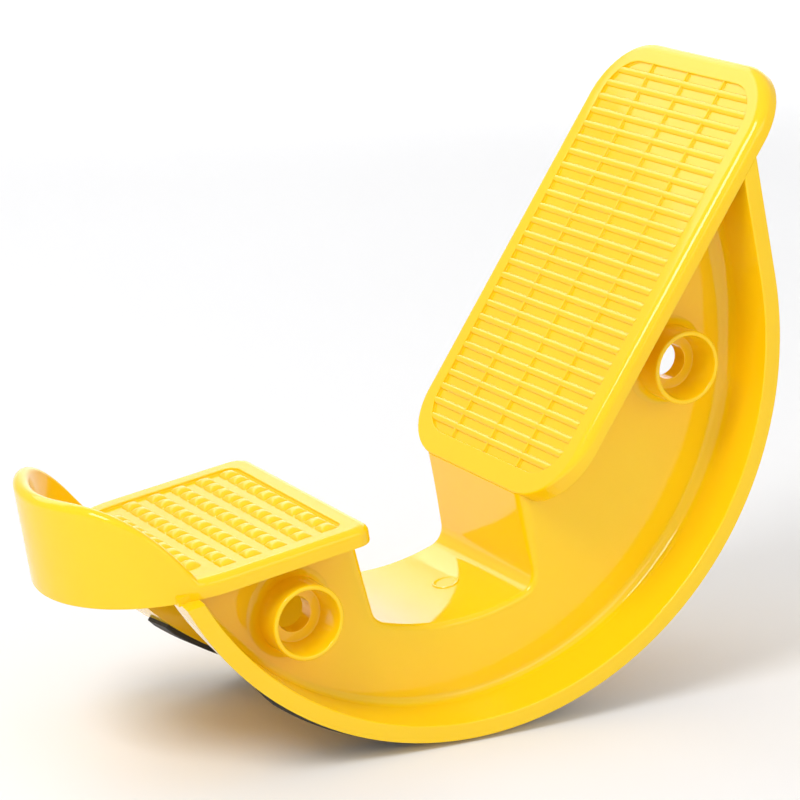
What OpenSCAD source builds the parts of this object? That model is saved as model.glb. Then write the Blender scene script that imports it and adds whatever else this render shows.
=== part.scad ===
// Foot rocker (calf stretching board) on two curved runners.
// +X points to the toes, +Y to the user's left, +Z up.
// The origin is the point where the rocker touches the floor, on its mid plane.

/* [Overall size] */
// Radius of the two curved runners, measured to their plastic outer face
rocker_radius = 150; // [145:1:185]
// Width over both runners
body_width = 130; // [105:1:160]
// Wall thickness of the hollow moulding
wall = 3.5; // [2.5:0.1:4.5]

/* [Foot plate] */
// Slope of the foot plate above the floor, in degrees
foot_slope = 57; // [50:0.5:62]
// Length of the foot plate along its slope
foot_length = 208.5; // [195:0.5:250]
// Width of the foot plate
foot_width = 130; // [108:0.5:156]
// Distance from the rocking axis down to the sole side of the foot plate
foot_drop = 59.5; // [52:0.5:66]
// Distance from the axis foot point back to the lower end of the foot plate
foot_setback = 27.5; // [20:0.5:34]
// Overhang of the foot plate past the runners' toe ends
toe_overhang = 37; // [25:0.5:50]
// Corner radius of the foot plate
foot_corner = 30; // [20:0.5:36]

/* [Heel plate and cup] */
// Slope of the heel plate above the floor, in degrees
heel_slope = 9.5; // [5:0.5:14]
// Length of the heel plate from its front edge to the back of the cup
heel_length = 123; // [108:0.5:150]
// Width of the heel plate and of the cup, which ends in a half circle
heel_width = 120; // [100:0.5:140]
// Distance from the rocking axis down to the sole side of the heel plate
heel_drop = 43.5; // [38:0.5:50]
// Distance from the axis foot point back to the front edge of the heel plate
heel_setback = 53; // [46:0.5:58]
// Radius of the two front corners of the heel plate
heel_corner = 7; // [5:0.5:14]
// Height of the heel cup above the heel plate, at the back
cup_height = 36; // [28:0.5:46]
// Wall thickness of the heel cup
cup_wall = 6; // [4:0.1:7.5]
// Half angle over which the cup keeps its full height, seen from above
cup_level_angle = 15; // [0:1:45]
// Half angle at which the cup's rim comes down to the heel plate
cup_end_angle = 75; // [60:1:85]

/* [Plate edges and treads] */
// Depth of the turned-down edge of both plates
plate_depth = 8; // [6:0.1:10]
// Depth of the recessed treads below the plate borders
tread_recess = 1.3; // [1:0.1:2.2]
// Border around the foot tread
foot_border = 10.5; // [8:0.5:14]
// Corner radius of the foot tread
tread_corner = 18; // [10:0.5:22]
// Number of rows of slots in the foot tread
slot_rows = 27; // [16:1:32]
// Number of slots side by side in each row
slot_columns = 4; // [2:1:6]
// Width of the cross bars between two rows of slots
bar_width = 3.2; // [2:0.1:4]
// Width of the thin dividers between two slots in a row
divider_width = 1.6; // [1:0.1:2.5]
// Border around the heel tread
heel_border = 9; // [7:0.5:12]
// Corner radius of the two front corners of the heel tread
stud_field_corner = 5; // [3:0.5:10]
// Distance between two rows of heel studs
stud_row_pitch = 11.6; // [10:0.1:15]
// Distance between two studs in a row
stud_pitch = 9; // [8:0.1:12]
// Width of one heel stud across the plate
stud_width = 8.6; // [6:0.1:9]
// Length of one heel stud along the plate
stud_length = 7.4; // [5:0.1:9]

/* [Instep and risers] */
// Depth of the bridge from the instep floor down to the runners' outer face
bridge_depth = 44; // [34:0.5:52]
// Lean of the wall below the foot plate, in degrees
toe_riser_lean = 12.5; // [6:0.5:18]
// Lean of the wall below the heel plate, in degrees
heel_riser_lean = 14; // [6:0.5:18]

/* [Runners and grip strips] */
// Width of each runner outside its side wall
runner_width = 24; // [20:0.5:28]
// Width of a runner's side face, seen from the side
rim_face = 7.7; // [6:0.1:10]
// Thickness of a runner where it joins its side wall
runner_root = 9.3; // [8:0.1:12]
// Rise of a runner's outer face from its outer side to the side wall
runner_draft = 2.7; // [0:0.1:4]
// Thickness of the rubber grip strips
strip_thickness = 2.2; // [1.8:0.1:4]
// Width of the rubber grip strips
strip_width = 17; // [12:0.5:20]
// Gap from a runner's outer side to the edge of its grip strip
strip_inset = 7; // [4:0.5:10]
// Angle from straight down to the heel end of the grip strips
strip_heel_angle = 38; // [30:1:50]
// Angle from straight down to the toe end of the grip strips
strip_toe_angle = 55; // [40:1:75]

/* [Side sockets] */
// Outer radius of the four side sockets
socket_radius = 16; // [14:0.1:18]
// Length of a socket outside its side wall
socket_length = 18; // [14:0.5:20]
// Radius of the socket's mouth
mouth_radius = 13; // [11.5:0.1:13.5]
// Depth of the socket's mouth
mouth_depth = 14; // [10:0.5:15]
// Radius of the hole through the socket's floor
hole_radius = 7.6; // [5:0.1:9]
// Distance from a plate's underside down to the centre of its sockets
socket_drop = 24.6; // [20:0.1:28]
// Distance from the foot plate's lower end to the toe sockets
toe_socket_reach = 81.5; // [74:0.5:90]
// Distance from the heel plate's front edge back to the heel sockets
heel_socket_reach = 34.5; // [30:0.5:42]

/* [Stiffening ribs] */
// Thickness of the ribs below the plates and inside the moulding
rib = 2.2; // [1.8:0.1:3]
// Greatest spacing of the cross ribs below the foot plate
rib_pitch = 33; // [26:1:45]

/* [Hidden] */

$fn = 96;
body_colour = "gold";
strip_colour = "dimgray";
far = 600;

// Heights of the rocking axis and half widths of the hollow
wall_outer = body_width / 2 - runner_width;
wall_inner = wall_outer - wall;
strip_outer = body_width / 2 - strip_inset;
strip_inner = strip_outer - strip_width;
axis_height = runner_face(strip_outer) + strip_thickness;
runner_inner_radius = rocker_radius - runner_root;
floor_radius = rocker_radius - bridge_depth;

// Distances from the rocking axis to the plates' undersides
foot_under = foot_drop + plate_depth;
heel_under = heel_drop + plate_depth;

// Stations along the foot plate, from the axis foot point towards the toes
foot_low = -foot_setback;
foot_top = foot_low + foot_length;
toe_reach = foot_top - toe_overhang;

// Stations along the heel plate, from the axis foot point towards the toes
heel_front = -heel_setback;
heel_back = heel_front - heel_length;
cup_radius = heel_width / 2;
cup_centre = heel_back + cup_radius;

// The runners' toe ends leave the circle on the tangent to the foot plate
toe_reach_radius = sqrt(toe_reach * toe_reach + foot_under * foot_under);
toe_is_straight = toe_reach_radius > rocker_radius;
toe_point_angle = foot_slope - atan2(foot_under, toe_reach);
toe_tangent = toe_is_straight ? toe_point_angle - acos(rocker_radius / toe_reach_radius) : 0;

// Stations where the runners' ends meet the undersides of the plates
toe_end_inner = sqrt(runner_inner_radius * runner_inner_radius - foot_under * foot_under);
toe_end = toe_is_straight ? toe_reach : sqrt(rocker_radius * rocker_radius - foot_under * foot_under);
toe_end_length = toe_is_straight ? runner_root / sin(toe_tangent + 90 - foot_slope)
                                 : toe_end - toe_end_inner;
heel_end = -sqrt(rocker_radius * rocker_radius - heel_under * heel_under);
heel_end_length = -heel_end - sqrt(runner_inner_radius * runner_inner_radius - heel_under * heel_under);

// Radius of the runners' outer face at a distance from the mid plane
function runner_face(side) =
    rocker_radius - runner_draft * (body_width / 2 - side) / (body_width / 2 - wall_inner);

// A point at a station and a height on a plate's own slope, as [x, z] about the axis
function on_slope(slope, station, height) =
    [station * cos(slope) - height * sin(slope), station * sin(slope) + height * cos(slope)];
function on_foot(station, height) = on_slope(foot_slope, station, height);
function on_heel(station, height) = on_slope(heel_slope, station, height);
function polar(angle, radius) = [radius * cos(angle), radius * sin(angle)];

// Corners of the side outline, about the axis
foot_low_top = on_foot(foot_low, -foot_drop);
foot_low_under = on_foot(foot_low, -foot_under);
heel_front_under = on_heel(heel_front, -heel_under);
toe_riser_way = [sin(toe_riser_lean), -cos(toe_riser_lean)];
heel_riser_way = [sin(heel_riser_lean), -cos(heel_riser_lean)];
toe_riser_out = [cos(toe_riser_lean), sin(toe_riser_lean)];
heel_riser_out = [-cos(heel_riser_lean), -sin(heel_riser_lean)];

// Centres of the sockets, about the axis
toe_socket_at = on_foot(foot_low + toe_socket_reach, -foot_under - socket_drop);
heel_socket_at = on_heel(heel_front - heel_socket_reach, -heel_under - socket_drop);

// Rows of the treads
foot_field_length = foot_length - 2 * foot_border;
foot_field_width = foot_width - 2 * foot_border;
slot_pitch = (foot_field_length + bar_width) / slot_rows;
column_pitch = (foot_field_width + divider_width) / slot_columns;
heel_field_radius = cup_radius - heel_border;
heel_field_front = heel_front - heel_border;
stud_height = tread_recess + 0.6;
stud_margin = 1.5;
stud_first_row = heel_field_front - stud_length / 2 - stud_margin;
stud_row_count =
    floor((stud_first_row - (cup_centre - heel_field_radius) - stud_length) / stud_row_pitch) + 1;
stud_half_row = floor((heel_field_radius - stud_width / 2) / stud_pitch);
foot_rib_count = ceil(foot_length / rib_pitch) - 1;

// ---- Placing ----

// Puts a side outline, drawn about the rocking axis, upright across the body
module upright(from, to) {
    translate([0, to, axis_height])
        rotate([90, 0, 0])
            linear_extrude(to - from) children();
}

// Puts a shape drawn on the foot plate's slope, with z = 0 on its sole side
module on_foot_slope() {
    translate([0, 0, axis_height])
        rotate([0, -foot_slope, 0])
            translate([0, 0, -foot_drop]) children();
}

// Puts a shape drawn on the heel plate's slope, with z = 0 on its sole side
module on_heel_slope() {
    translate([0, 0, axis_height])
        rotate([0, -heel_slope, 0])
            translate([0, 0, -heel_drop]) children();
}

// ---- Plan outlines of the plates ----

// Rectangle with four round corners, from x = from to x = to
module rounded_rectangle(from, to, width, corner) {
    translate([from + corner, -width / 2]) square([to - from - 2 * corner, width]);
    translate([from, corner - width / 2]) square([to - from, width - 2 * corner]);
    for (x = [from + corner, to - corner], y = [corner - width / 2, width / 2 - corner])
        translate([x, y]) circle(corner);
}

// Foot plate in plan, drawn in by an inset
module foot_outline(inset) {
    rounded_rectangle(foot_low + inset, foot_top - inset,
                      foot_width - 2 * inset, foot_corner - inset);
}

// Foot tread in plan
module foot_field() {
    rounded_rectangle(foot_low + foot_border, foot_top - foot_border,
                      foot_field_width, tread_corner);
}

// Heel plate in plan, drawn in by an inset, with its half circle at the back
module heel_outline(inset) {
    front = heel_front - inset;
    half = cup_radius - inset;
    corner = heel_corner - inset;
    translate([cup_centre, 0]) circle(half);
    translate([cup_centre, -half]) square([front - corner - cup_centre, 2 * half]);
    translate([cup_centre, corner - half]) square([front - cup_centre, 2 * (half - corner)]);
    for (y = [corner - half, half - corner])
        translate([front - corner, y]) circle(corner);
}

// Heel tread in plan
module heel_field() {
    corner = stud_field_corner;
    translate([cup_centre, 0]) circle(heel_field_radius);
    translate([cup_centre, -heel_field_radius])
        square([heel_field_front - corner - cup_centre, 2 * heel_field_radius]);
    translate([cup_centre, corner - heel_field_radius])
        square([heel_field_front - cup_centre, 2 * (heel_field_radius - corner)]);
    for (y = [corner - heel_field_radius, heel_field_radius - corner])
        translate([heel_field_front - corner, y]) circle(corner);
}

// Lands below a plate: one along each side wall and one at each runner's end
module lands(from, length, runner_from, runner_length) {
    for (side = [-1, 1]) {
        translate([from, side > 0 ? wall_inner : -wall_outer]) square([length, wall]);
        translate([runner_from, side > 0 ? wall_inner : -body_width / 2])
            square([runner_length, body_width / 2 - wall_inner]);
    }
}

// Pocket in the foot plate's underside, which leaves the lands
module foot_pocket() {
    difference() {
        foot_outline(wall);
        lands(foot_low, foot_length, toe_end - toe_end_length, toe_end_length);
    }
}

// Pocket in the heel plate's underside, which leaves the lands
module heel_pocket() {
    difference() {
        heel_outline(wall);
        lands(heel_back, heel_length, heel_end, heel_end_length);
    }
}

// ---- Side outlines about the rocking axis ----

// Disc of the rocker with its straight toe end
module rocker_disc(radius) {
    circle(radius);
    if (toe_is_straight) {
        tangent_point = polar(toe_tangent, radius);
        run = polar(toe_tangent + 90, far);
        polygon([[0, 0], tangent_point, tangent_point + run, run]);
    }
}

// Everything below the two plates and the line across the instep
module below_plates() {
    polygon([on_heel(-far, -heel_under), heel_front_under, foot_low_top, foot_low_under,
             on_foot(far, -foot_under), [far, -far], [-far, -far]]);
}

// Wedge of the instep, between the two risers
module instep_wedge(grow) {
    polygon([heel_front_under + heel_riser_out * grow,
             heel_front_under + heel_riser_out * grow + heel_riser_way * far,
             foot_low_top + toe_riser_out * grow + toe_riser_way * far,
             foot_low_top + toe_riser_out * grow]);
}

// Side outline of the hollow body, from the plates to the runners
module body_outline() {
    difference() {
        intersection() {
            rocker_disc(runner_inner_radius);
            below_plates();
        }
        intersection() {
            circle(floor_radius);
            instep_wedge(0);
        }
    }
}

// Strip along one riser, as thick as the wall
module riser_strip(start, way, out) {
    polygon([start, start + way * far, start + way * far + out * wall,
             start + out * wall]);
}

// ---- Foot plate ----

module foot_plate() {
    color(body_colour)
    on_foot_slope() {
        difference() {
            translate([0, 0, -plate_depth]) linear_extrude(plate_depth) foot_outline(0);
            translate([0, 0, -tread_recess]) linear_extrude(plate_depth) foot_field();
            translate([0, 0, -plate_depth - wall])
                linear_extrude(plate_depth - tread_recess) foot_pocket();
        }
    }
}

module foot_tread() {
    color(body_colour)
    on_foot_slope()
    translate([0, 0, -tread_recess])
    linear_extrude(tread_recess)
    intersection() {
        foot_field();
        union() {
            for (row = [1 : slot_rows - 1])
                translate([foot_low + foot_border + row * slot_pitch - bar_width, -foot_width / 2])
                    square([bar_width, foot_width]);
            for (column = [1 : slot_columns - 1])
                translate([foot_low, column * column_pitch - foot_field_width / 2 - divider_width])
                    square([foot_length, divider_width]);
        }
    }
}

// Ribs below the foot plate, inside its turned-down edge and clear of the side walls
module foot_plate_ribs() {
    rib_depth = plate_depth - tread_recess - wall;
    color(body_colour)
    on_foot_slope()
    translate([0, 0, -plate_depth])
    linear_extrude(rib_depth)
    intersection() {
        foot_pocket();
        for (i = [1 : foot_rib_count])
            translate([foot_low + i * foot_length / (foot_rib_count + 1) - rib / 2, 0])
                for (side = [-1, 1])
                    translate([0, side > 0 ? wall_outer : -foot_width / 2])
                        square([rib, foot_width / 2 - wall_outer]);
    }
}

// ---- Heel plate and cup ----

module heel_plate() {
    color(body_colour)
    on_heel_slope() {
        difference() {
            translate([0, 0, -plate_depth]) linear_extrude(plate_depth) heel_outline(0);
            translate([0, 0, -tread_recess]) linear_extrude(plate_depth) heel_field();
            translate([0, 0, -plate_depth - wall])
                linear_extrude(plate_depth - tread_recess) heel_pocket();
        }
    }
}

// One stud: a low pyramid with its top cut off
module heel_stud() {
    top_share = 0.3;
    lift = 2 * stud_width;
    difference() {
        translate([-stud_length / 2, -stud_width / 2, 0]) cube([stud_length, stud_width, stud_height]);
        for (turn = [0 : 90 : 270]) {
            half = (turn % 180 == 0 ? stud_length : stud_width) / 2;
            side_slope = atan2(stud_height, half * (1 - top_share));
            rotate([0, 0, turn])
                translate([half, -stud_width, 0])
                    rotate([0, side_slope - 90, 0]) cube([stud_width, 2 * stud_width, lift]);
        }
    }
}

module heel_studs() {
    color(body_colour)
    on_heel_slope()
    translate([0, 0, -tread_recess])
    for (row = [0 : stud_row_count - 1]) {
        x = stud_first_row - row * stud_row_pitch;
        reach = heel_field_radius - stud_width * 0.55;
        behind = max(0, cup_centre - x + stud_length / 2);
        half = min(stud_half_row, floor(sqrt(max(0, reach * reach - behind * behind)) / stud_pitch));
        for (column = [-half : half])
            translate([x, column * stud_pitch, 0]) heel_stud();
    }
}

// Ribs below the heel plate, inside its turned-down edge and beside the side walls
module heel_plate_ribs() {
    rib_depth = plate_depth - tread_recess - wall;
    color(body_colour)
    on_heel_slope()
    translate([0, 0, -plate_depth])
    linear_extrude(rib_depth)
    intersection() {
        heel_pocket();
        for (x = [cup_centre - rib / 2, heel_front - heel_corner - rib / 2])
            for (side = [-1, 1])
                translate([x, side > 0 ? wall_outer : -heel_width / 2])
                    square([rib, heel_width / 2 - wall_outer]);
    }
}

// Height of the cup's rim at an angle from straight back
function rim_height(angle) =
    angle <= cup_level_angle ? cup_height
    : cup_height * (1 - pow((angle - cup_level_angle) / (cup_end_angle - cup_level_angle), 3));

module heel_cup() {
    rim_steps = 14;
    rim_angles = [for (i = [0 : rim_steps])
        cup_level_angle + (cup_end_angle - cup_level_angle) * i / rim_steps];
    rim_profile = [for (angle = rim_angles)
        [cup_centre - (cup_radius - cup_wall / 2) * cos(angle), rim_height(angle)]];
    color(body_colour)
    on_heel_slope()
    intersection() {
        linear_extrude(cup_height)
        difference() {
            translate([cup_centre, 0]) circle(cup_radius);
            translate([cup_centre, 0]) circle(cup_radius - cup_wall);
        }
        translate([0, cup_radius, 0])
        rotate([90, 0, 0])
        linear_extrude(2 * cup_radius)
            polygon(concat([[heel_back, 0], [heel_back, cup_height]], rim_profile));
    }
}

// ---- Instep ----

module toe_riser() {
    color(body_colour)
    upright(-wall_inner, wall_inner)
    intersection() {
        body_outline();
        circle(floor_radius);
        riser_strip(foot_low_top, toe_riser_way, toe_riser_out);
    }
}

module heel_riser() {
    color(body_colour)
    upright(-wall_inner, wall_inner)
    intersection() {
        body_outline();
        circle(floor_radius);
        riser_strip(heel_front_under, heel_riser_way, heel_riser_out);
    }
}

module instep_floor() {
    color(body_colour)
    upright(-wall_inner, wall_inner)
    intersection() {
        difference() {
            circle(floor_radius + wall);
            circle(floor_radius);
        }
        instep_wedge(wall);
    }
}

// Webs across the hollow below the instep floor, each square to the runners
module cross_webs() {
    color(body_colour)
    upright(-wall_inner, wall_inner)
    for (angle = [-114, -90, -66])
        rotate(angle)
            translate([floor_radius + wall, -rib / 2])
                square([bridge_depth - wall - runner_root, rib]);
}

// ---- Sides ----

module side_wall() {
    color(body_colour)
    upright(wall_inner, wall_outer)
    difference() {
        body_outline();
        translate(toe_socket_at) circle(socket_radius);
        translate(heel_socket_at) circle(socket_radius);
    }
}

// Sweeps a section, drawn as [radius, side], along the straight toe end and round the axis
module rocker_sweep(section) {
    arc_start = toe_is_straight ? toe_tangent : 90;
    arc_past_heel = 200;
    translate([0, 0, axis_height])
    rotate([0, -arc_start, 0]) {
        rotate([-90, 0, 0]) rotate_extrude(angle = arc_start + arc_past_heel) polygon(section);
        if (toe_is_straight) linear_extrude(far) polygon(section);
    }
}

module runner() {
    side = body_width / 2;
    color(body_colour)
    intersection() {
        rocker_sweep([[rocker_radius, side], [rocker_radius - rim_face, side],
                      [runner_inner_radius, wall_outer], [runner_inner_radius, wall_inner],
                      [runner_face(wall_inner), wall_inner]]);
        upright(wall_inner, side) below_plates();
    }
}

// Socket that passes through the side wall: a wide mouth, then a smaller hole
module socket(centre) {
    color(body_colour)
    translate([centre.x, 0, axis_height + centre.y])
    rotate([-90, 0, 0])
    difference() {
        translate([0, 0, wall_inner]) cylinder(h = wall + socket_length, r = socket_radius);
        translate([0, 0, wall_inner - 1]) cylinder(h = wall + socket_length, r = hole_radius);
        translate([0, 0, wall_outer + socket_length - mouth_depth])
            cylinder(h = mouth_depth + 1, r = mouth_radius);
    }
}

// Rubber strip along the outer face of one runner
module grip_strip() {
    outer_face = runner_face(strip_outer);
    inner_face = runner_face(strip_inner);
    color(strip_colour)
    intersection() {
        translate([0, 0, axis_height])
        rotate([-90, 0, 0])
        rotate_extrude()
            polygon([[inner_face, strip_inner], [outer_face, strip_outer],
                     [outer_face + strip_thickness, strip_outer],
                     [inner_face + strip_thickness, strip_inner]]);
        upright(strip_inner, strip_outer)
            polygon([[0, 0], polar(-90 - strip_heel_angle, far), [0, -far],
                     polar(-90 + strip_toe_angle, far)]);
    }
}

module opposite() {
    mirror([0, 1, 0]) children();
}

foot_plate();
foot_tread();
foot_plate_ribs();
heel_plate();
heel_studs();
heel_plate_ribs();
heel_cup();
toe_riser();
instep_floor();
heel_riser();
cross_webs();
side_wall();  // side_wall_left
opposite() side_wall();  // side_wall_right
runner();  // runner_left
opposite() runner();  // runner_right
socket(toe_socket_at);  // toe_socket_left
opposite() socket(toe_socket_at);  // toe_socket_right
socket(heel_socket_at);  // heel_socket_left
opposite() socket(heel_socket_at);  // heel_socket_right
grip_strip();  // grip_strip_left
opposite() grip_strip();  // grip_strip_right
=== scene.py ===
"""Foot rocker: a glossy yellow moulding on two curved runners with rubber grip strips."""

import math

import bmesh
import bpy
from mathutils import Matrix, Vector
from mathutils.geometry import tessellate_polygon


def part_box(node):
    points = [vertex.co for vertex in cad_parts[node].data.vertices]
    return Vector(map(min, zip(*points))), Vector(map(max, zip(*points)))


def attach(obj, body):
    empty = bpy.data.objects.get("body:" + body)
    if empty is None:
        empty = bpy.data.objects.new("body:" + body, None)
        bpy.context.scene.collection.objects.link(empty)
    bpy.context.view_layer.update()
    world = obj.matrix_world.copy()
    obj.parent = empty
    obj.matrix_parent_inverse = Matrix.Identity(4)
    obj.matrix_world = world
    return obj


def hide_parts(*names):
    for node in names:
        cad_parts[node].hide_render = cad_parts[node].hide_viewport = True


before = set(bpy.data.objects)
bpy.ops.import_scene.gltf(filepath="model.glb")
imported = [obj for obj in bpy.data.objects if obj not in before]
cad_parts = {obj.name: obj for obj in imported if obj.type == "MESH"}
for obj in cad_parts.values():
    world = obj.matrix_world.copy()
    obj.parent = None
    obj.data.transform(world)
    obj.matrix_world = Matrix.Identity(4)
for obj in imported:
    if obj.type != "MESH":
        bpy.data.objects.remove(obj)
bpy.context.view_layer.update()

# ---- Sizes in millimetres and degrees, the same names as in the part's source ----

ROCKER_RADIUS = 150.0
WALL = 3.5
FOOT_SLOPE, FOOT_LOW, FOOT_TOP, FOOT_DROP = 57.0, -27.5, 181.0, 59.5
FOOT_CORNER, FOOT_BORDER, TREAD_CORNER = 30.0, 10.5, 18.0
SLOT_ROWS, SLOT_COLUMNS, BAR_WIDTH, DIVIDER_WIDTH = 27, 4, 3.2, 1.6
HEEL_SLOPE, HEEL_FRONT, HEEL_BACK, HEEL_DROP = 9.5, -53.0, -176.0, 43.5
HEEL_CORNER, HEEL_BORDER, STUD_FIELD_CORNER = 7.0, 9.0, 5.0
CUP_HEIGHT, CUP_WALL, CUP_LEVEL_ANGLE, CUP_END_ANGLE = 36.0, 6.0, 15.0, 75.0
STUD_ROW_PITCH, STUD_PITCH, STUD_WIDTH, STUD_LENGTH, STUD_MARGIN = 11.6, 9.0, 8.6, 7.4, 1.5
PLATE_DEPTH, TREAD_RECESS = 8.0, 1.3
BRIDGE_DEPTH, TOE_RISER_LEAN, HEEL_RISER_LEAN = 44.0, 12.5, 14.0
RIM_FACE, RUNNER_ROOT, RUNNER_DRAFT = 7.7, 9.3, 2.7
STRIP_THICKNESS, STRIP_WIDTH, STRIP_INSET = 2.2, 17.0, 7.0
STRIP_HEEL_ANGLE, STRIP_TOE_ANGLE = 38.0, 55.0
TOE_OVERHANG = 37.0
SOCKET_RADIUS, SOCKET_LENGTH, MOUTH_DEPTH, HOLE_RADIUS = 16.0, 18.0, 14.0, 7.6

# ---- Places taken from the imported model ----


def box_mm(node):
    """Lowest and highest corner of a CAD node, in millimetres."""
    low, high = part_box(node)
    return low * 1000, high * 1000


AXIS_HEIGHT = box_mm("runner_left")[0].z + ROCKER_RADIUS
HALF_WIDTH = box_mm("runner_left")[1].y
WALL_INNER = box_mm("side_wall_left")[0].y
WALL_OUTER = box_mm("side_wall_left")[1].y
FOOT_HALF = box_mm("foot_plate")[1].y
CUP_RADIUS = box_mm("heel_plate")[1].y
CUP_CENTRE = HEEL_BACK + CUP_RADIUS
FLOOR_RADIUS = ROCKER_RADIUS - BRIDGE_DEPTH
FOOT_UNDER = FOOT_DROP + PLATE_DEPTH
HEEL_UNDER = HEEL_DROP + PLATE_DEPTH
WEB_DEPTH = TREAD_RECESS + WALL
TOE_LAND, HEEL_LAND = (131.0, 144.0), (-140.9, -130.9)


def socket_centre(node):
    """Centre of a side socket about the rocking axis, as (x, z)."""
    low, high = box_mm(node)
    return (low.x + high.x) / 2, (low.z + high.z) / 2 - AXIS_HEIGHT


# ---- Small geometry helpers ----

SHARP_ANGLE = 38


def mix(a, b, share):
    return a + (b - a) * share


def smooth_step(low, high, value):
    share = min(1.0, max(0.0, (value - low) / (high - low)))
    return share * share * (3 - 2 * share)


def polar(angle, radius):
    """Point about the rocking axis; 0 degrees is towards the toes and 90 is up."""
    a = math.radians(angle)
    return radius * math.cos(a), radius * math.sin(a)


def on_slope(slope, station, height):
    """Point at a station and a height on a slope, as (x, z) about the rocking axis."""
    a = math.radians(slope)
    return (station * math.cos(a) - height * math.sin(a),
            station * math.sin(a) + height * math.cos(a))


def placed(x, y, z):
    """Point given about the rocking axis, as it stands on the floor."""
    return Vector((x, y, z + AXIS_HEIGHT))


def on_foot(station, side, height):
    """Point on the foot plate; height is above its sole side."""
    x, z = on_slope(FOOT_SLOPE, station, height - FOOT_DROP)
    return placed(x, side, z)


def on_heel(station, side, height):
    """Point on the heel plate; height is above its sole side."""
    x, z = on_slope(HEEL_SLOPE, station, height - HEEL_DROP)
    return placed(x, side, z)


def arc(centre, radius, start, end, steps):
    """Points along a circle's arc, angles in degrees."""
    return [(centre[0] + radius * math.cos(math.radians(mix(start, end, i / steps))),
             centre[1] + radius * math.sin(math.radians(mix(start, end, i / steps))))
            for i in range(steps + 1)]


def make_piece(name, points, faces, material, slot_name, replaced=()):
    """Makes one closed mesh from points in millimetres and ties it to the frame."""
    mesh = bpy.data.meshes.new(name)
    mesh.from_pydata([tuple(p / 1000) for p in points], [], faces)
    mesh.validate()
    work = bmesh_of(mesh)
    work.to_mesh(mesh)
    work.free()
    mesh.polygons.foreach_set("use_smooth", [True] * len(mesh.polygons))
    mesh.set_sharp_from_angle(angle=math.radians(SHARP_ANGLE))
    piece = bpy.data.objects.new(name, mesh)
    bpy.context.scene.collection.objects.link(piece)
    even = piece.modifiers.new("even shading", "WEIGHTED_NORMAL")
    even.keep_sharp = True
    mesh.materials.append(material)
    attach(piece, "root")
    if replaced:
        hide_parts(*replaced)
    return piece


def bmesh_of(mesh):
    """A working copy of a mesh with doubles merged and faces turned outwards."""
    work = bmesh.new()
    work.from_mesh(mesh)
    bmesh.ops.remove_doubles(work, verts=work.verts, dist=1e-6)
    bmesh.ops.recalc_face_normals(work, faces=work.faces)
    return work


def loft(rings, caps=True, closed=False):
    """Points and faces of a skin over rings of equally many points."""
    count = len(rings[0])
    points = [p for ring in rings for p in ring]
    faces = []
    last = len(rings) if closed else len(rings) - 1
    for i in range(last):
        a, b = i * count, (i + 1) % len(rings) * count
        for j in range(count):
            k = (j + 1) % count
            faces.append((a + j, a + k, b + k, b + j))
    if caps and not closed:
        faces.append(tuple(range(count)))
        faces.append(tuple(range(len(points) - count, len(points))))
    return points, faces


def mirrored(points, side):
    """The same points, on the other side of the mid plane if side is -1."""
    return [Vector((p.x, p.y * side, p.z)) for p in points]


# ---- Outlines of the two plates ----


def foot_ring(inset, corner):
    """Outline of the foot plate in plan, drawn in by an inset, as (station, side)."""
    steps = 14
    low, high, half = FOOT_LOW + inset, FOOT_TOP - inset, FOOT_HALF - inset
    ring = []
    for centre, start in (((high - corner, half - corner), 90), ((low + corner, half - corner), 180),
                          ((low + corner, corner - half), 270), ((high - corner, corner - half), 360)):
        ring += arc(centre, corner, start - 90, start, steps)
    return ring


def heel_angles():
    """Angles from straight back at which the round end of the heel plate is sampled."""
    steps = 60
    return [mix(-90, 90, i / steps) for i in range(steps + 1)]


def heel_ring(inset, corner):
    """Outline of the heel plate in plan, drawn in by an inset, as (station, side, rim angle)."""
    half, front = CUP_RADIUS - inset, HEEL_FRONT - inset
    ring = [(CUP_CENTRE - half * math.cos(math.radians(a)), half * math.sin(math.radians(a)), abs(a))
            for a in heel_angles()]
    for start, side in ((90, 1), (0, -1)):
        centre = (front - corner, side * (half - corner))
        ring += [(s, y, 180) for s, y in arc(centre, corner, start, start - 90, 10)]
    return ring


# ---- Foot plate ----


def foot_edge_radius(station):
    """The plate's rounded edge is crisp at its lower end and soft along its sides."""
    return mix(0.8, 4.5, smooth_step(FOOT_LOW + 3, FOOT_LOW + 36, station))


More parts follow.
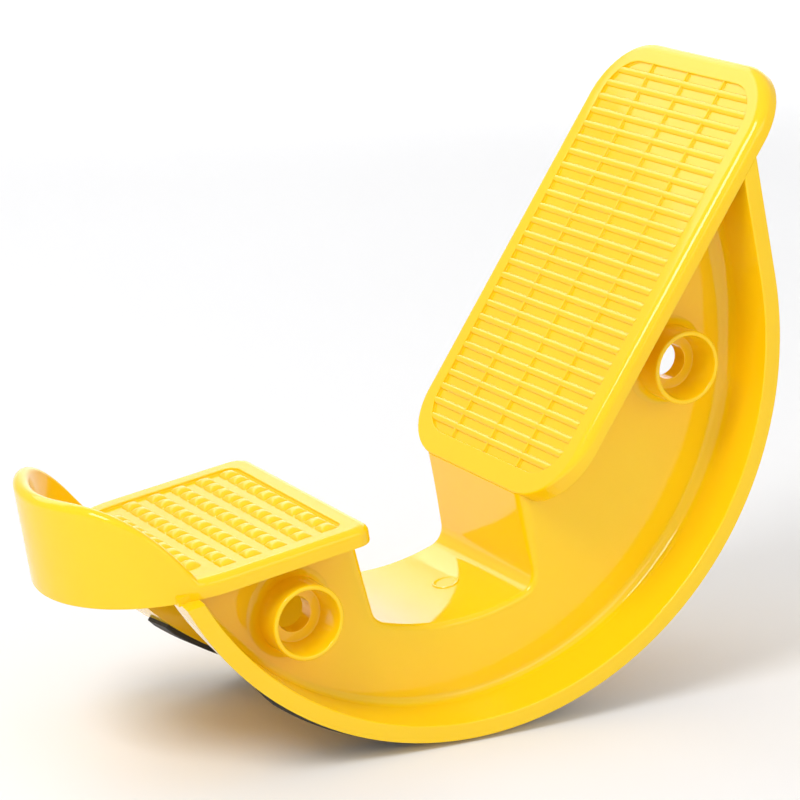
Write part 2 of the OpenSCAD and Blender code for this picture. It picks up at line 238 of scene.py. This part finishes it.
def foot_plate(material):
    inner = WALL
    web = -TREAD_RECESS - WALL
    outer = foot_ring(0, FOOT_CORNER)
    rings = []

    def ring_at(inset, height):
        corner = mix(FOOT_CORNER, TREAD_CORNER, inset / FOOT_BORDER)
        rings.append([on_foot(s, y, height) for s, y in foot_ring(inset, corner)])

    ring_at(inner + 1.0, web)
    ring_at(inner + 0.3, web - 0.3)
    ring_at(inner, web - 1.0)
    ring_at(inner, -PLATE_DEPTH + 0.4)
    ring_at(inner - 0.4, -PLATE_DEPTH)
    ring_at(0.7, -PLATE_DEPTH)
    ring_at(0.2, -PLATE_DEPTH + 0.2)
    ring_at(0.0, -PLATE_DEPTH + 0.7)
    steps = 8
    for i in range(steps + 1):
        turn = math.radians(90 * i / steps)
        soft = foot_ring(4.5 * (1 - math.cos(turn)), FOOT_CORNER - 4.5 * (1 - math.cos(turn)) * 0.9)
        ring = []
        for (s0, y0), (s1, y1) in zip(outer, soft):
            radius = foot_edge_radius(s0)
            share = radius / 4.5
            ring.append(on_foot(mix(s0, s1, share), mix(y0, y1, share),
                                -radius * (1 - math.sin(turn))))
        rings.append(ring)
    ring_at(FOOT_BORDER - 0.4, 0)
    ring_at(FOOT_BORDER - 0.12, -0.12)
    ring_at(FOOT_BORDER, -0.4)
    ring_at(FOOT_BORDER, -TREAD_RECESS + 0.3)
    ring_at(FOOT_BORDER + 0.3, -TREAD_RECESS)
    return make_piece("foot_plate_shell", *loft(rings), material, "body", ["foot_plate"])


def field_half_width(station):
    """Half width of the foot tread at a station, inside its round corners."""
    low, high = FOOT_LOW + FOOT_BORDER, FOOT_TOP - FOOT_BORDER
    half = FOOT_HALF - FOOT_BORDER
    into = min(station - low, high - station)
    if into >= TREAD_CORNER:
        return half
    into = max(into, 0.0)
    return half - TREAD_CORNER + math.sqrt(TREAD_CORNER ** 2 - (TREAD_CORNER - into) ** 2)


def field_ends(side):
    """Stations at which a line along the foot tread starts and ends."""
    half = FOOT_HALF - FOOT_BORDER
    out = abs(side) - (half - TREAD_CORNER)
    cut = TREAD_CORNER - math.sqrt(TREAD_CORNER ** 2 - out ** 2) if out > 0 else 0.0
    return FOOT_LOW + FOOT_BORDER + cut, FOOT_TOP - FOOT_BORDER - cut


def bar_section(width, top, shoulder):
    """Section of a tread bar with a rounded back, as (across, height)."""
    half, floor = width / 2, -TREAD_RECESS
    side = [(half + 0.3, floor - 0.1), (half + 0.12, floor + 0.12), (half - 0.05, floor + 0.5),
            (half - shoulder * 0.35, top - shoulder * 0.35), (half - shoulder, top - shoulder * 0.08)]
    return [(-across, height) for across, height in side] + [(0.0, top)] + side[::-1]


def foot_tread(material):
    """Cross bars and thin dividers that leave the tread's rows of slots."""
    points, faces = [], []

    def add_bar(ends):
        ring_points, ring_faces = loft(ends)
        start = len(points)
        points.extend(ring_points)
        faces.extend(tuple(start + k for k in face) for face in ring_faces)

    low, high = FOOT_LOW + FOOT_BORDER, FOOT_TOP - FOOT_BORDER
    pitch = (high - low + BAR_WIDTH) / SLOT_ROWS
    section = bar_section(BAR_WIDTH, -0.03, 0.9)
    for row in range(1, SLOT_ROWS):
        middle = low + row * pitch - BAR_WIDTH / 2
        add_bar([[on_foot(middle + across, way * (field_half_width(middle + across) - 0.05), height)
                  for across, height in section] for way in (-1, 1)])
    half = FOOT_HALF - FOOT_BORDER
    column_pitch = (2 * half + DIVIDER_WIDTH) / SLOT_COLUMNS
    section = bar_section(DIVIDER_WIDTH, -0.15, 0.45)
    for column in range(1, SLOT_COLUMNS):
        middle = column * column_pitch - half - DIVIDER_WIDTH / 2
        start, end = field_ends(middle)
        add_bar([[on_foot(station, middle + across, height) for across, height in section]
                 for station in (start + 0.05, end - 0.05)])
    return make_piece("foot_tread_grid", points, faces, material, "body", ["foot_tread"])


# ---- Heel plate and cup ----


def rim_height(angle):
    """Height of the cup's rim above the heel plate at an angle from straight back."""
    if angle <= CUP_LEVEL_ANGLE:
        return CUP_HEIGHT
    if angle >= CUP_END_ANGLE:
        return 0.0
    return CUP_HEIGHT * (1 - ((angle - CUP_LEVEL_ANGLE) / (CUP_END_ANGLE - CUP_LEVEL_ANGLE)) ** 3)


def plain_edge():
    """Heel plate's rounded edge where there is no cup, as (inset, height)."""
    edge = 3.2
    section = [(edge * (1 - math.cos(math.radians(a))), -edge * (1 - math.sin(math.radians(a))))
               for a in (0, 15, 30, 45, 60, 75, 90)]
    first = section[-1][0]
    section += [(mix(first, HEEL_BORDER - 0.6, i / 15), 0.0) for i in range(1, 16)]
    return section


def cup_edge(height, lip):
    """Heel plate's edge where the cup stands on it, as (inset, height)."""
    section = [(0.0, mix(-3.2, height - lip, i / 4)) for i in range(4)]
    section += [(lip * (1 - math.cos(math.radians(a))), height - lip * (1 - math.sin(math.radians(a))))
                for a in (0, 22, 45, 68, 90, 112, 135, 158, 180)]
    foot = 3.0
    section += [(2 * lip, mix(height - lip, foot, i / 3)) for i in range(1, 3)]
    section += [(2 * lip + foot * (1 - math.cos(math.radians(a))) * 0.6,
                 foot * (1 - math.sin(math.radians(a))))
                for a in (0, 22, 45, 68, 90)]
    section += [(mix(2 * lip + foot * 0.6, HEEL_BORDER - 0.6, i / 2), 0.0) for i in range(1, 3)]
    return section


def heel_edge(angle):
    """Section of the heel plate's edge at an angle from straight back."""
    height = rim_height(angle)
    least = 7.0
    flat = plain_edge()
    if height <= 0:
        return flat
    lip = mix(CUP_WALL / 2 + 0.4, 2.0, smooth_step(20, 70, angle))
    share = min(1.0, height / least)
    return [(mix(a[0], b[0], share), mix(a[1], b[1], share))
            for a, b in zip(flat, cup_edge(max(height, least), lip))]


def heel_plate(material):
    """Heel plate with its turned-down edge and the cup that rises from it."""
    rings = []
    web = -TREAD_RECESS - WALL
    angles = [entry[2] for entry in heel_ring(0, HEEL_CORNER)]

    def ring_at(insets, heights):
        ring = []
        for k, (inset, height) in enumerate(zip(insets, heights)):
            corner = max(mix(HEEL_CORNER, STUD_FIELD_CORNER, inset / HEEL_BORDER), 1.5)
            s, y, _ = heel_ring(inset, corner)[k]
            ring.append(on_heel(s, y, height))
        rings.append(ring)

    def level_ring(inset, height):
        ring_at([inset] * len(angles), [height] * len(angles))

    for inset, height in ((WALL + 1.0, web), (WALL + 0.3, web - 0.3), (WALL, web - 1.0),
                          (WALL, -PLATE_DEPTH + 0.4), (WALL - 0.4, -PLATE_DEPTH), (0.7, -PLATE_DEPTH),
                          (0.2, -PLATE_DEPTH + 0.2), (0.0, -PLATE_DEPTH + 0.7)):
        level_ring(inset, height)
    edges = [heel_edge(angle) for angle in angles]
    for step in range(len(edges[0])):
        ring_at([edge[step][0] for edge in edges], [edge[step][1] for edge in edges])
    for inset, height in ((HEEL_BORDER - 0.4, 0), (HEEL_BORDER - 0.12, -0.12), (HEEL_BORDER, -0.4),
                          (HEEL_BORDER, -TREAD_RECESS + 0.3), (HEEL_BORDER + 0.3, -TREAD_RECESS)):
        level_ring(inset, height)
    return make_piece("heel_plate_and_cup", *loft(rings), material, "body", ["heel_plate", "heel_cup"])


def stud_places():
    """Centres of the heel studs, as (station, side)."""
    half = CUP_RADIUS - HEEL_BORDER
    first = HEEL_FRONT - HEEL_BORDER - STUD_LENGTH / 2 - STUD_MARGIN
    rows = math.floor((first - (CUP_CENTRE - half) - STUD_LENGTH) / STUD_ROW_PITCH) + 1
    widest = math.floor((half - STUD_WIDTH / 2) / STUD_PITCH)
    reach = half - STUD_WIDTH * 0.55
    places = []
    for row in range(rows):
        station = first - row * STUD_ROW_PITCH
        behind = max(0.0, CUP_CENTRE - station + STUD_LENGTH / 2)
        count = min(widest, math.floor(math.sqrt(max(0.0, reach ** 2 - behind ** 2)) / STUD_PITCH))
        places += [(station, column * STUD_PITCH) for column in range(-count, count + 1)]
    return places


def stud_ring(share, roundness, height, station, side):
    """One level of a stud: a rectangle with round corners."""
    ring = []
    half_long, half_wide = STUD_LENGTH / 2 * share, STUD_WIDTH / 2 * share
    corner = half_long * roundness
    for sx, sy, start in ((1, 1, 0), (-1, 1, 90), (-1, -1, 180), (1, -1, 270)):
        centre = (station + sx * (half_long - corner), side + sy * (half_wide - corner))
        ring += [on_heel(s, y, height) for s, y in arc(centre, corner, start, start + 90, 4)]
    return ring


def heel_studs(material):
    """Low domed studs, side by side in rows across the heel plate."""
    points, faces = [], []
    base = -TREAD_RECESS
    levels = ((1.0, 0.35, -0.1), (0.97, 0.4, 0.25), (0.88, 0.5, 0.75), (0.72, 0.65, 1.25),
              (0.52, 0.8, 1.62), (0.3, 0.95, 1.82), (0.1, 1.0, 1.9))
    for station, side in stud_places():
        rings = [stud_ring(share, soft, base + rise, station, side) for share, soft, rise in levels]
        ring_points, ring_faces = loft(rings)
        start = len(points)
        points += ring_points
        faces += [tuple(start + k for k in face) for face in ring_faces]
    return make_piece("heel_stud_field", points, faces, material, "body", ["heel_studs"])


# ---- Instep bridge and side walls ----

INSTEP_FILLET = 8.0


def riser_way(lean):
    a = math.radians(lean)
    return math.sin(a), -math.cos(a)


def riser_fillet(start, way, inwards):
    """Round corner between a riser and the instep floor, as (centre, reach down the riser)."""
    reach_radius = FLOOR_RADIUS - INSTEP_FILLET
    x0 = start[0] + inwards[0] * INSTEP_FILLET
    z0 = start[1] + inwards[1] * INSTEP_FILLET
    b = x0 * way[0] + z0 * way[1]
    c = x0 * x0 + z0 * z0 - reach_radius ** 2
    reach = -b + math.sqrt(b * b - c)
    return (x0 + way[0] * reach, z0 + way[1] * reach), reach


def instep_path():
    """Points down the heel riser, along the floor and up the toe riser.

    Each is (x, z, normal x, normal z, edge radius), with the normal into the moulding."""
    heel_start = on_slope(HEEL_SLOPE, HEEL_FRONT, -HEEL_UNDER)
    toe_start = on_slope(FOOT_SLOPE, FOOT_LOW, -FOOT_DROP)
    heel_way, toe_way = riser_way(HEEL_RISER_LEAN), riser_way(TOE_RISER_LEAN)
    heel_in = (-heel_way[1], heel_way[0])
    toe_in = (toe_way[1], -toe_way[0])
    heel_centre, heel_reach = riser_fillet(heel_start, heel_way, heel_in)
    toe_centre, toe_reach = riser_fillet(toe_start, toe_way, toe_in)
    path = []
    soft, crisp = 5.0, 2.6

    def along(start, way, inwards, reach, offset, steps, backwards=False):
        shares = [i / steps for i in range(steps)]
        for share in (reversed(shares) if backwards else shares):
            t = mix(offset, reach, share)
            path.append((start[0] + way[0] * t, start[1] + way[1] * t, -inwards[0], -inwards[1],
                         mix(soft, crisp, share ** 2)))

    def round_corner(centre, start_angle, end_angle):
        for x, z in arc(centre, INSTEP_FILLET, start_angle, end_angle, 12):
            path.append((x, z, (x - centre[0]) / INSTEP_FILLET, (z - centre[1]) / INSTEP_FILLET, crisp))

    def angle_of(x, z):
        return math.degrees(math.atan2(z, x))

    along(heel_start, heel_way, heel_in, heel_reach, -1.5, 8)
    heel_floor = angle_of(*heel_centre)
    round_corner(heel_centre, angle_of(-heel_in[0], -heel_in[1]) % 360, heel_floor % 360)
    toe_floor = angle_of(*toe_centre)
    for i in range(1, 24):
        x, z = polar(mix(heel_floor, toe_floor, i / 24), FLOOR_RADIUS)
        path.append((x, z, x / FLOOR_RADIUS, z / FLOOR_RADIUS, crisp))
    round_corner(toe_centre, toe_floor % 360, angle_of(-toe_in[0], -toe_in[1]) % 360 + 360 * (
        angle_of(-toe_in[0], -toe_in[1]) % 360 < 180))
    along(toe_start, toe_way, toe_in, toe_reach, 0.5, 8, backwards=True)
    return path


EDGE_LAND = 0.6


def instep_bridge(material):
    """Heel riser, instep floor and toe riser as one skin with round side edges."""
    rings = []
    for x, z, nx, nz, edge in instep_path():
        half = WALL_OUTER
        section = [(-half, edge + EDGE_LAND)]
        section += [(-half + edge - edge * math.cos(math.radians(a)),
                     edge - edge * math.sin(math.radians(a)))
                    for a in (0, 15, 30, 45, 60, 75, 90)]
        section += [(mix(-half + edge, half - edge, i / 6), 0.0) for i in range(1, 6)]
        section += [(-y, depth) for y, depth in reversed(section[1:8])]
        section += [(half, edge + EDGE_LAND), (WALL_INNER, edge + EDGE_LAND)]
        section += [(WALL_INNER, WALL), (-WALL_INNER, WALL)]
        section += [(-WALL_INNER, edge + EDGE_LAND)]
        rings.append([placed(x + nx * depth, y, z + nz * depth) for y, depth in section])
    return make_piece("instep_bridge", *loft(rings), material, "body",
                      ["heel_riser", "instep_floor", "toe_riser"])


def toe_tangent():
    """Angle at which the runners leave their circle for the straight toe end."""
    reach = FOOT_TOP - TOE_OVERHANG
    radius = math.hypot(reach, FOOT_UNDER)
    return (FOOT_SLOPE - math.degrees(math.atan2(FOOT_UNDER, reach))
            - math.degrees(math.acos(ROCKER_RADIUS / radius)))


def foot_height(x, z):
    """Height of a point over the foot plate's slope, through the rocking axis."""
    a = math.radians(FOOT_SLOPE)
    return -x * math.sin(a) + z * math.cos(a)


def toe_end_reach(radius, under):
    """Length of the straight toe end at a radius, up to a height under the foot plate."""
    x, z = polar(toe_tangent(), radius)
    dx, dz = polar(toe_tangent() + 90, 1)
    return (-under - foot_height(x, z)) / foot_height(dx, dz)


def heel_end_angle(radius, under):
    """Angle about the axis at which a circle meets a height under the heel plate."""
    return -180 + HEEL_SLOPE + math.degrees(math.asin(under / radius))


def wall_outline():
    """Side wall in outline, about the rocking axis, without the instep's round edge."""
    sink = 0.5
    radius = ROCKER_RADIUS - RUNNER_ROOT + sink
    outline = [(x + nx * (edge + EDGE_LAND), z + nz * (edge + EDGE_LAND))
               for x, z, nx, nz, edge in instep_path()]
    under_foot, under_heel = FOOT_DROP + WEB_DEPTH - sink, HEEL_DROP + WEB_DEPTH - sink
    outline.append(on_slope(FOOT_SLOPE, FOOT_LOW + WALL - sink, -under_foot))
    reach = toe_end_reach(radius, under_foot)
    x, z = polar(toe_tangent(), radius)
    dx, dz = polar(toe_tangent() + 90, reach)
    outline.append((x + dx, z + dz))
    end = heel_end_angle(radius, under_heel)
    outline += [polar(mix(toe_tangent(), end, i / 60), radius) for i in range(61)]
    return outline


def side_wall(material, side, name, node, sockets):
    """Flat wall with a hole for each socket."""
    holes = [arc(socket_centre(s), SOCKET_RADIUS - 0.3, 0, 360 - 7.5, 47) for s in sockets]
    loops = [wall_outline()] + holes
    flat = [p for loop in loops for p in loop]
    triangles = tessellate_polygon([[Vector((x, z, 0)) for x, z in loop] for loop in loops])
    count = len(flat)
    points = [placed(x, y, z) for y in (WALL_OUTER, WALL_INNER) for x, z in flat]
    faces = [tuple(t) for t in triangles] + [tuple(k + count for k in t) for t in triangles]
    start = 0
    for loop in loops:
        for j in range(len(loop)):
            a, b = start + j, start + (j + 1) % len(loop)
            faces.append((a, b, b + count, a + count))
        start += len(loop)
    return make_piece(name, mirrored(points, side), faces, material, "body", [node])


# ---- Runners, strips and sockets ----


def runner_face(side):
    """Radius of the runners' outer face at a distance from the mid plane."""
    return ROCKER_RADIUS - RUNNER_DRAFT * (HALF_WIDTH - side) / (HALF_WIDTH - WALL_INNER)


def runner_section(fillet):
    """Section of a runner, as (side, radius), with the fillet where it meets the wall."""
    root = ROCKER_RADIUS - RUNNER_ROOT
    section = [(HALF_WIDTH, ROCKER_RADIUS - 0.8), (HALF_WIDTH, ROCKER_RADIUS - RIM_FACE + 0.9)]
    section += arc((HALF_WIDTH - 0.9, ROCKER_RADIUS - RIM_FACE + 0.9), 0.9, 0, -86, 4)[1:]
    section += [(WALL_OUTER + fillet + 6, root + 0.55)]
    section += arc((WALL_OUTER + fillet, root - fillet), fillet, 90, 180, 8)
    section += [(WALL_OUTER - 0.4, root - fillet), (WALL_OUTER - 0.4, root + 0.4),
                (WALL_INNER, root + 0.4), (WALL_INNER, runner_face(WALL_INNER)),
                (HALF_WIDTH - 0.8, runner_face(HALF_WIDTH - 0.8)),
                (HALF_WIDTH - 0.23, ROCKER_RADIUS - 0.23)]
    return section


def runner(material, side, name, node):
    rings = []
    arc_steps, toe_steps = 72, 8
    sink = 0.4
    for i in range(arc_steps + toe_steps + 1):
        share = i / arc_steps
        fillet = mix(3.2, 7.0, smooth_step(0.2, 1.0, share))
        ring = []
        for y, radius in runner_section(fillet):
            if i <= arc_steps:
                start = heel_end_angle(radius, HEEL_UNDER - sink)
                x, z = polar(mix(start, toe_tangent(), share), radius)
            else:
                x, z = polar(toe_tangent(), radius)
                reach = toe_end_reach(radius, FOOT_UNDER - sink) * (i - arc_steps) / toe_steps
                dx, dz = polar(toe_tangent() + 90, reach)
                x, z = x + dx, z + dz
            ring.append(placed(x, y, z))
        rings.append(ring)
    points, faces = loft(rings)
    return make_piece(name, mirrored(points, side), faces, material, "body", [node])


LAND_SINK = 0.2


def plate_lands(material, side, name):
    """Solid lands inside the plates' hollow undersides, where the ends of a runner meet them."""
    points, faces = [], []
    for place, (start, end), plate_half in ((on_foot, TOE_LAND, FOOT_HALF),
                                            (on_heel, HEEL_LAND, CUP_RADIUS)):
        outer = plate_half - WALL + LAND_SINK
        corners = [(start, WALL_INNER), (end, WALL_INNER), (end, outer), (start, outer)]
        more, shapes = loft([[place(station, y, height) for station, y in corners]
                             for height in (-WEB_DEPTH + 0.4, -PLATE_DEPTH - 0.3)])
        faces += [tuple(k + len(points) for k in face) for face in shapes]
        points += more
    return make_piece(name, mirrored(points, side), faces, material, "body")


def grip_strip(material, side, name, node):
    """Thin rubber band along the outer face of a runner."""
    outer, inner = HALF_WIDTH - STRIP_INSET, HALF_WIDTH - STRIP_INSET - STRIP_WIDTH
    steps = 60
    rings = []
    for i in range(steps + 1):
        angle = mix(-90 - STRIP_HEEL_ANGLE, -90 + STRIP_TOE_ANGLE, i / steps)
        end = 0.5 if i in (0, steps) else 0.0
        section = [(outer, -0.1), (outer, STRIP_THICKNESS - 0.5 - end),
                   (outer - 0.5, STRIP_THICKNESS - end)]
        section += [(mix(outer - 0.5, inner + 0.5, k / 4), STRIP_THICKNESS - end) for k in range(1, 4)]
        section += [(inner + 0.5, STRIP_THICKNESS - end), (inner, STRIP_THICKNESS - 0.5 - end),
                    (inner, -0.1)]
        ring = []
        for y, height in section:
            x, z = polar(angle, runner_face(y) + height)
            ring.append(placed(x, y, z))
        rings.append(ring)
    points, faces = loft(rings)
    return make_piece(name, mirrored(points, side), faces, material, "grip", [node])


def socket(material, side, name, node):
    """Turned socket: flared foot, rounded mouth, tapering bore, then a smaller hole."""
    top = WALL_OUTER + SOCKET_LENGTH
    shoulder = top - MOUTH_DEPTH
    flare = 4.2
    section = arc((SOCKET_RADIUS + flare, WALL_OUTER + flare - 0.05), flare, 270, 180, 8)
    section += arc((SOCKET_RADIUS - 1.1, top - 1.1), 1.1, 0, 90, 4)
    section += arc((14.75, top - 0.9), 0.9, 90, 175, 4)
    section += [(12.1, shoulder + 0.9), (11.8, shoulder + 0.25), (11.2, shoulder)]
    section += [(HOLE_RADIUS + 0.5, shoulder), (HOLE_RADIUS + 0.12, shoulder - 0.14),
                (HOLE_RADIUS, shoulder - 0.5), (HOLE_RADIUS, WALL_INNER),
                (SOCKET_RADIUS - 0.3, WALL_INNER),
                (SOCKET_RADIUS - 0.3, WALL_OUTER - 0.05)]
    cx, cz = socket_centre(node)
    steps = 72
    rings = []
    for i in range(steps):
        a = math.radians(360 * i / steps)
        rings.append([placed(cx + r * math.cos(a), y, cz + r * math.sin(a)) for r, y in section])
    points, faces = loft(rings, closed=True)
    return make_piece(name, mirrored(points, side), faces, material, "body", [node])


GATE_ANGLE = -77.6


def gate_mark(material):
    """Round mark left by the mould's gate on the instep floor."""
    section = [(3.9, 0.1), (4.5, 0.18), (5.0, 0.5), (5.6, 0.5), (6.0, 0.1), (6.0, -1.0)]
    steps = 48
    rings = []
    for r, height in section:
        ring = []
        for i in range(steps):
            a = math.radians(360 * i / steps)
            sideways = math.degrees(r * math.cos(a) / FLOOR_RADIUS)
            x, z = polar(GATE_ANGLE + sideways, FLOOR_RADIUS - height)
            ring.append(placed(x, r * math.sin(a), z))
        rings.append(ring)
    return make_piece("gate_mark", *loft(rings), material, "body")


# ---- Materials ----


def new_material(name):
    material = bpy.data.materials.new(name)
    material.use_nodes = True
    tree = material.node_tree
    shader = tree.nodes["Principled BSDF"]
    return material, tree, shader


def add_node(tree, kind, **settings):
    node = tree.nodes.new(kind)
    for key, value in settings.items():
        setattr(node, key, value)
    return node


def surface_detail():
    """Shared effect: soft patches, finer marks and a small relief for a moulded surface."""
    group = bpy.data.node_groups.new("surface detail", "ShaderNodeTree")
    for name, value in (("Patch Scale", 9.0), ("Mark Scale", 60.0), ("Relief Scale", 45.0),
                        ("Relief Strength", 0.1), ("Relief Depth", 0.0006)):
        socket_in = group.interface.new_socket(name, in_out="INPUT", socket_type="NodeSocketFloat")
        socket_in.default_value = value
    for name in ("Patches", "Marks"):
        group.interface.new_socket(name, in_out="OUTPUT", socket_type="NodeSocketFloat")
    group.interface.new_socket("Normal", in_out="OUTPUT", socket_type="NodeSocketVector")
    link = group.links.new
    given, result = add_node(group, "NodeGroupInput"), add_node(group, "NodeGroupOutput")
    place = add_node(group, "ShaderNodeTexCoord")
    noises = {}
    for name, detail in (("Patch", 3.0), ("Mark", 6.0), ("Relief", 1.5)):
        noise = add_node(group, "ShaderNodeTexNoise")
        noise.inputs["Detail"].default_value = detail
        link(place.outputs["Object"], noise.inputs["Vector"])
        link(given.outputs[name + " Scale"], noise.inputs["Scale"])
        noises[name] = noise.outputs["Fac"]
    bump = add_node(group, "ShaderNodeBump")
    link(given.outputs["Relief Strength"], bump.inputs["Strength"])
    link(given.outputs["Relief Depth"], bump.inputs["Distance"])
    link(noises["Relief"], bump.inputs["Height"])
    link(noises["Patch"], result.inputs["Patches"])
    link(noises["Mark"], result.inputs["Marks"])
    link(bump.outputs["Normal"], result.inputs["Normal"])
    return group


def detailed_material(name, group, scales, relief, colours, roughness, marks):
    """Material whose colour follows the patches and whose roughness follows the given output."""
    material, tree, shader = new_material(name)
    link = tree.links.new
    detail = add_node(tree, "ShaderNodeGroup", node_tree=group)
    for socket_name, value in zip(("Patch Scale", "Mark Scale", "Relief Scale"), scales):
        detail.inputs[socket_name].default_value = value
    detail.inputs["Relief Strength"].default_value, detail.inputs["Relief Depth"].default_value = relief
    tone = add_node(tree, "ShaderNodeValToRGB")
    for element, position, colour in zip(tone.color_ramp.elements, (0.3, 0.7), colours):
        element.position, element.color = position, (*colour, 1)
    link(detail.outputs["Patches"], tone.inputs["Fac"])
    link(tone.outputs["Color"], shader.inputs["Base Color"])
    gloss = add_node(tree, "ShaderNodeMapRange")
    gloss.inputs["From Min"].default_value, gloss.inputs["From Max"].default_value = 0.35, 0.75
    gloss.inputs["To Min"].default_value, gloss.inputs["To Max"].default_value = roughness
    link(detail.outputs[marks], gloss.inputs["Value"])
    link(gloss.outputs["Result"], shader.inputs["Roughness"])
    link(detail.outputs["Normal"], shader.inputs["Normal"])
    return material, shader


def moulded_plastic(group):
    """Glossy yellow plastic: a faint flow pattern, tiny waves and a few fine handling marks."""
    material, shader = detailed_material(
        "glossy yellow plastic", group, (9.0, 60.0, 45.0), (0.12, 0.0006),
        ((0.97, 0.60, 0.003), (1.0, 0.65, 0.006)), (0.06, 0.13), "Marks")
    shader.inputs["IOR"].default_value = 1.5
    shader.inputs["Subsurface Weight"].default_value = 0.12
    shader.inputs["Subsurface Radius"].default_value = (1.0, 0.45, 0.05)
    shader.inputs["Subsurface Scale"].default_value = 0.004
    return material


def grip_rubber(group):
    """Black rubber with a fine grain and dull scuffed patches."""
    material, _ = detailed_material(
        "black grip rubber", group, (40.0, 120.0, 900.0), (0.35, 0.0004),
        ((0.012, 0.012, 0.013), (0.045, 0.044, 0.043)), (0.55, 0.85), "Patches")
    return material


def studio_paper():
    """Pale paper under and behind the object."""
    material, tree, shader = new_material("pale studio paper")
    link = tree.links.new
    grain = add_node(tree, "ShaderNodeTexNoise")
    grain.inputs["Scale"].default_value = 6.0
    tone = add_node(tree, "ShaderNodeValToRGB")
    tone.color_ramp.elements[0].color = (0.86, 0.86, 0.865, 1)
    tone.color_ramp.elements[1].color = (0.89, 0.89, 0.895, 1)
    link(grain.outputs["Fac"], tone.inputs["Fac"])
    link(tone.outputs["Color"], shader.inputs["Base Color"])
    shader.inputs["Roughness"].default_value = 0.7
    return material


# ---- Studio ----


def studio_floor():
    """Pale floor that curves up behind the object."""
    width, front, back, bend, height = 4.0, -3.2, 3.0, 0.9, 3.0
    line = [(front, 0.0), (back - bend, 0.0)]
    line += [(back - bend + bend * math.sin(math.radians(a)), bend - bend * math.cos(math.radians(a)))
             for a in range(6, 91, 6)]
    line.append((back, height))
    points = [(x, y, z) for y, z in line for x in (-width, width)]
    faces = [(2 * i, 2 * i + 1, 2 * i + 3, 2 * i + 2) for i in range(len(line) - 1)]
    mesh = bpy.data.meshes.new("studio floor")
    mesh.from_pydata(points, [], faces)
    mesh.polygons.foreach_set("use_smooth", [True] * len(mesh.polygons))
    floor = bpy.data.objects.new("studio_floor", mesh)
    floor.rotation_euler = (0, 0, math.radians(CAMERA_TURN))
    bpy.context.scene.collection.objects.link(floor)
    mesh.materials.append(studio_paper())


def soft_light(name, place, target, size, power, spread=180):
    """Soft box at a place, turned to a target; a smaller spread keeps its light off the rest."""
    lamp = bpy.data.lights.new(name, "AREA")
    lamp.shape = "RECTANGLE"
    lamp.size, lamp.size_y = size
    lamp.energy = power
    lamp.spread = math.radians(spread)
    light = bpy.data.objects.new(name, lamp)
    light.location = place
    light.rotation_euler = (Vector(target) - Vector(place)).to_track_quat("-Z", "Y").to_euler()
    bpy.context.scene.collection.objects.link(light)


def studio_lights():
    middle = (0.02, 0.0, 0.13)
    soft_light("key light", (-1.1, -0.5, 1.5), middle, (0.7, 0.7), 16)
    soft_light("front light", (0.4, -1.9, 0.9), middle, (1.3, 0.9), 5)
    soft_light("back light", (-0.2, 1.4, 1.3), middle, (1.6, 0.7), 6)
    soft_light("backdrop light", (1.0, 1.0, 2.2), (1.6, 2.9, 0.6), (2.0, 1.0), 22, spread=90)
    world = bpy.data.worlds.new("studio light")
    world.use_nodes = True
    world.node_tree.nodes["Background"].inputs["Color"].default_value = (1, 1, 1, 1)
    world.node_tree.nodes["Background"].inputs["Strength"].default_value = 0.68
    bpy.context.scene.world = world


CAMERA_TURN, CAMERA_RISE = -28.8018, 14.4413
CAMERA_PLACE = (-0.6331, -1.1518, AXIS_HEIGHT / 1000 + 0.3196)
FOCAL_LENGTH, SENSOR_WIDTH = 144.01, 36.0


def studio_camera():
    lens = bpy.data.cameras.new("camera")
    lens.lens, lens.sensor_width = FOCAL_LENGTH, SENSOR_WIDTH
    lens.clip_start = 0.05
    camera = bpy.data.objects.new("camera", lens)
    camera.location = CAMERA_PLACE
    camera.rotation_euler = (math.radians(90 - CAMERA_RISE), 0, math.radians(CAMERA_TURN))
    bpy.context.scene.collection.objects.link(camera)
    bpy.context.scene.camera = camera
    bpy.context.scene.view_settings.view_transform = "Standard"


# ---- Putting it together ----


def paint_hidden_ribs(material):
    """The ribs and webs of the hidden underside keep their own shape."""
    for node in ("foot_plate_ribs", "heel_plate_ribs", "cross_webs"):
        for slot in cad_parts[node].material_slots:
            slot.material = material


def build():
    """Makes every piece; all of them ride on the one body."""
    detail = surface_detail()
    plastic, rubber = moulded_plastic(detail), grip_rubber(detail)
    foot_plate(plastic)
    foot_tread(plastic)
    heel_plate(plastic)
    heel_studs(plastic)
    instep_bridge(plastic)
    gate_mark(plastic)
    paint_hidden_ribs(plastic)
    for side, word in ((1, "left"), (-1, "right")):
        sockets = [f"toe_socket_{word}", f"heel_socket_{word}"]
        side_wall(plastic, side, f"side_wall_panel_{word}", f"side_wall_{word}", sockets)
        runner(plastic, side, f"runner_rail_{word}", f"runner_{word}")
        plate_lands(plastic, side, f"plate_lands_{word}")
        grip_strip(rubber, side, f"rubber_strip_{word}", f"grip_strip_{word}")
        for node in sockets:
            socket(plastic, side, node.replace("socket", "side_socket"), node)


build()
studio_floor()
studio_lights()
studio_camera()
